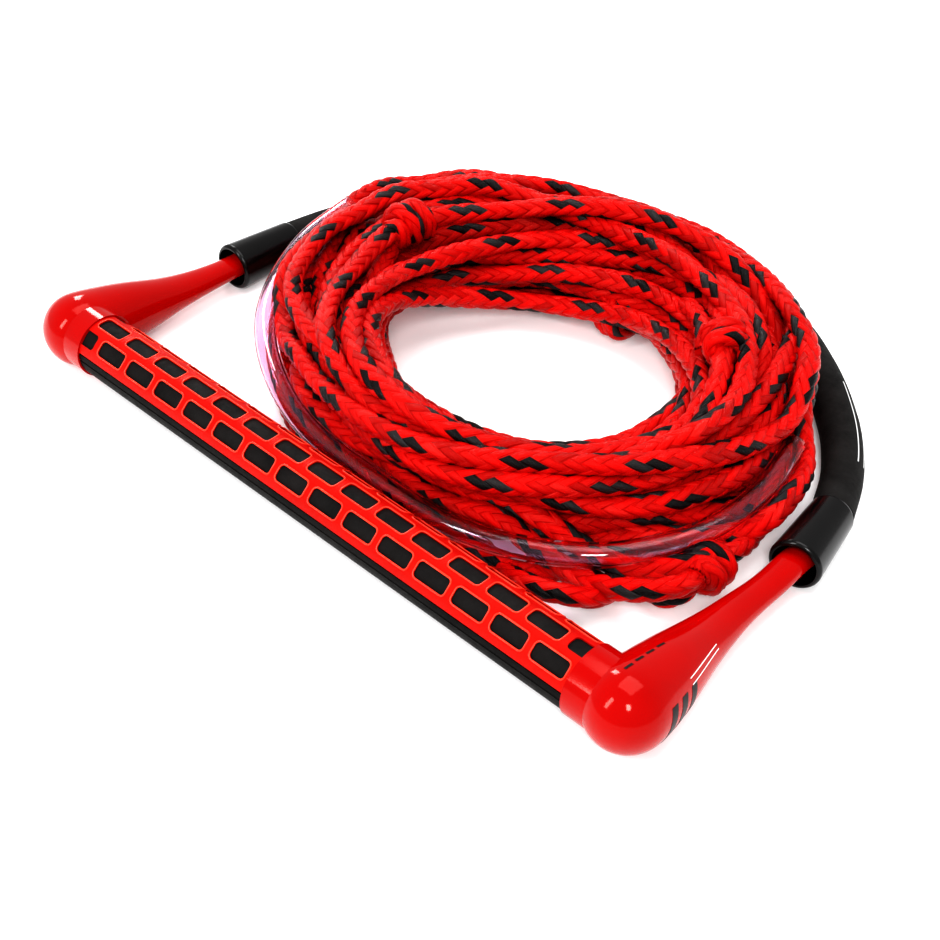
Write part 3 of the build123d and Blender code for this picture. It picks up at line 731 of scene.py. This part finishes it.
def arm_centre(u):  # u from 0 to 1 is y from 0 to 60 mm
    y = u * 0.06
    x = np.interp(y, SEC[:, 0], SEC[:, 1])
    z = np.interp(y, SEC[:, 0], SEC[:, 2])
    return np.array([x, y - Y_MID, z]), np.array([1.0, 0, 0]), np.array([0, 0, 1.0])


def patch(corners, nu, nv):
    """A grid between four (u, angle) corners, angles in degrees."""
    a, b, c, d = [np.array((p[0], math.radians(p[1]))) for p in corners]
    f, g = np.linspace(0, 1, nu)[:, None, None], np.linspace(0, 1, nv)[None, :, None]
    return (a * (1 - f) + b * f) * (1 - g) + (d * (1 - f) + c * f) * g


ink_dark = plastic("ink_dark", (0.014, 0.010, 0.010), (0.022, 0.017, 0.016), 0.35, 900, 0.05, 0.0001, patch=60,
                   spec=0.15)
ink_white = plastic("ink_white", (0.80, 0.80, 0.80), (0.88, 0.88, 0.88), 0.45, 900, 0.05, 0.0001, patch=60,
                    spec=0.3)
cap_tree = tree_of("end_cap_right")
ymm = lambda y: y / 60.0
for i, (y0, wid) in enumerate(((1.0, 4.2), (8.5, 4.2), (16.0, 4.2))):
    g = patch(((ymm(y0), -34), (ymm(y0 + wid), -34), (ymm(y0 + wid + 5), 24), (ymm(y0 + 5), 24)), 5, 16)
    ob = mark("mark_bar_%d" % (i + 1), cap_tree, arm_centre, g, ink_dark, "handle")
for i in range(4):
    y0 = 1.0 + 6.6 * i
    g = patch(((ymm(y0), 99), (ymm(y0 + 4.4), 98), (ymm(y0 + 4.4), 102), (ymm(y0), 103)), 5, 3)
    ob = mark("mark_dash_%d" % (i + 1), cap_tree, arm_centre, g, ink_dark, "handle")
for i, ang in enumerate((24.0, 34.0)):
    g = patch(((ymm(22.0), ang), (ymm(46.0), ang + 3), (ymm(46.0), ang + 5.2), (ymm(22.0), ang + 1.6)), 26, 2)
    ob = mark("mark_line_%d" % (i + 1), cap_tree, arm_centre, g, ink_white, "handle")

# two plain white pinstripes along the outside of the right float
float_route = at_lengths(line_of(mm(RIGHT[1:-2]), 8), np.linspace(0.028, 0.086, 60))


def float_centre(u):
    k = min(len(float_route) - 1, max(0, u * (len(float_route) - 1)))
    i = int(k)
    j = min(i + 1, len(float_route) - 1)
    c = float_route[i] * (1 - (k - i)) + float_route[j] * (k - i)
    t = float_route[min(i + 1, len(float_route) - 1)] - float_route[max(i - 1, 0)]
    t /= np.linalg.norm(t)
    e1 = np.cross(t, (0, 0, 1.0))
    return c, e1, np.array([0, 0, 1.0])


float_tree = tree_of("float_right")
for i, (ang, w) in enumerate(((24.0, 4.0), (50.0, 4.0))):
    g = patch(((0.02, ang), (0.98, ang), (0.98, ang + w), (0.02, ang + w)), 60, 2)
    ob = mark("mark_float_%d" % (i + 1), float_tree, float_centre, g, ink_white, "bridle")


# ------------------------------------------------------------------ camera, floor, light
scene.view_settings.view_transform = "Standard"
scene.view_settings.look = "High Contrast"
scene.view_settings.exposure = 0.2
cam_data = bpy.data.cameras.new("camera")
cam_data.lens = 36 * 1651.0 / 940
cam_data.sensor_width = 36
cam_data.sensor_fit = "AUTO"
cam_data.clip_start = 0.01
cam_data.clip_end = 50
cam = link(bpy.data.objects.new("camera", cam_data))
cam.location = (0.414354, -0.461761, 0.488478)
cam.rotation_euler = (math.radians(90 - 40.876), 0, math.radians(44.170))
scene.camera = cam

fm, fnt, fb = new_material("floor_paper_glowing")
tc = fnt.nodes.new("ShaderNodeTexCoord")
fn = noise(fnt, tc.outputs["Object"], 6.0, 3.0)
fr = ramp(fnt, [(0.3, (0.86, 0.86, 0.86)), (0.7, (0.88, 0.88, 0.88))])
fnt.links.new(fn.outputs[0], fr.inputs[0])
fnt.links.new(fr.outputs[0], fb.inputs["Base Color"])
fb.inputs["Roughness"].default_value = 0.9
fb.inputs["Specular IOR Level"].default_value = 0.1
# the floor itself glows faintly, a painted fill light that lightens the shadows cast on it and lights the parts a
# little from below; it is not a lamp
fb.inputs["Emission Color"].default_value = (1, 1, 1, 1)
fb.inputs["Emission Strength"].default_value = 0.13
fme = bpy.data.meshes.new("floor")
fme.from_pydata([(-8, -8, 0), (8, -8, 0), (8, 8, 0), (-8, 8, 0)], [], [(0, 1, 2, 3)])
fme.materials.append(fm)
floor = link(bpy.data.objects.new("floor", fme))

world = bpy.data.worlds.new("studio")
world.use_nodes = True
world.node_tree.nodes["Background"].inputs[0].default_value = (1, 1, 1, 1)
world.node_tree.nodes["Background"].inputs[1].default_value = 0.55
scene.world = world


def area(name, place, aim, size, power, size_y=None, colour=(1, 1, 1)):
    d = bpy.data.lights.new(name, "AREA")
    d.energy = power
    d.color = colour
    d.size = size
    if size_y:
        d.shape = "RECTANGLE"
        d.size_y = size_y
    o = link(bpy.data.objects.new(name, d))
    o.location = place
    o.rotation_euler = (Vector(aim) - Vector(place)).to_track_quat("-Z", "Y").to_euler()
    return o


area("top", (0.0, 0.2, 1.5), (0.0, 0.0, 0.0), 1.1, 10)
area("front", (0.95, -1.05, 1.35), (0.0, 0.0, 0.0), 0.30, 11, 0.42)
area("left", (-0.42, -1.45, 1.05), (0.0, 0.0, 0.0), 0.26, 9, 0.85)
area("back_left", (-1.2, 0.55, 0.9), (0.0, 0.0, 0.0), 0.25, 5, 0.5)
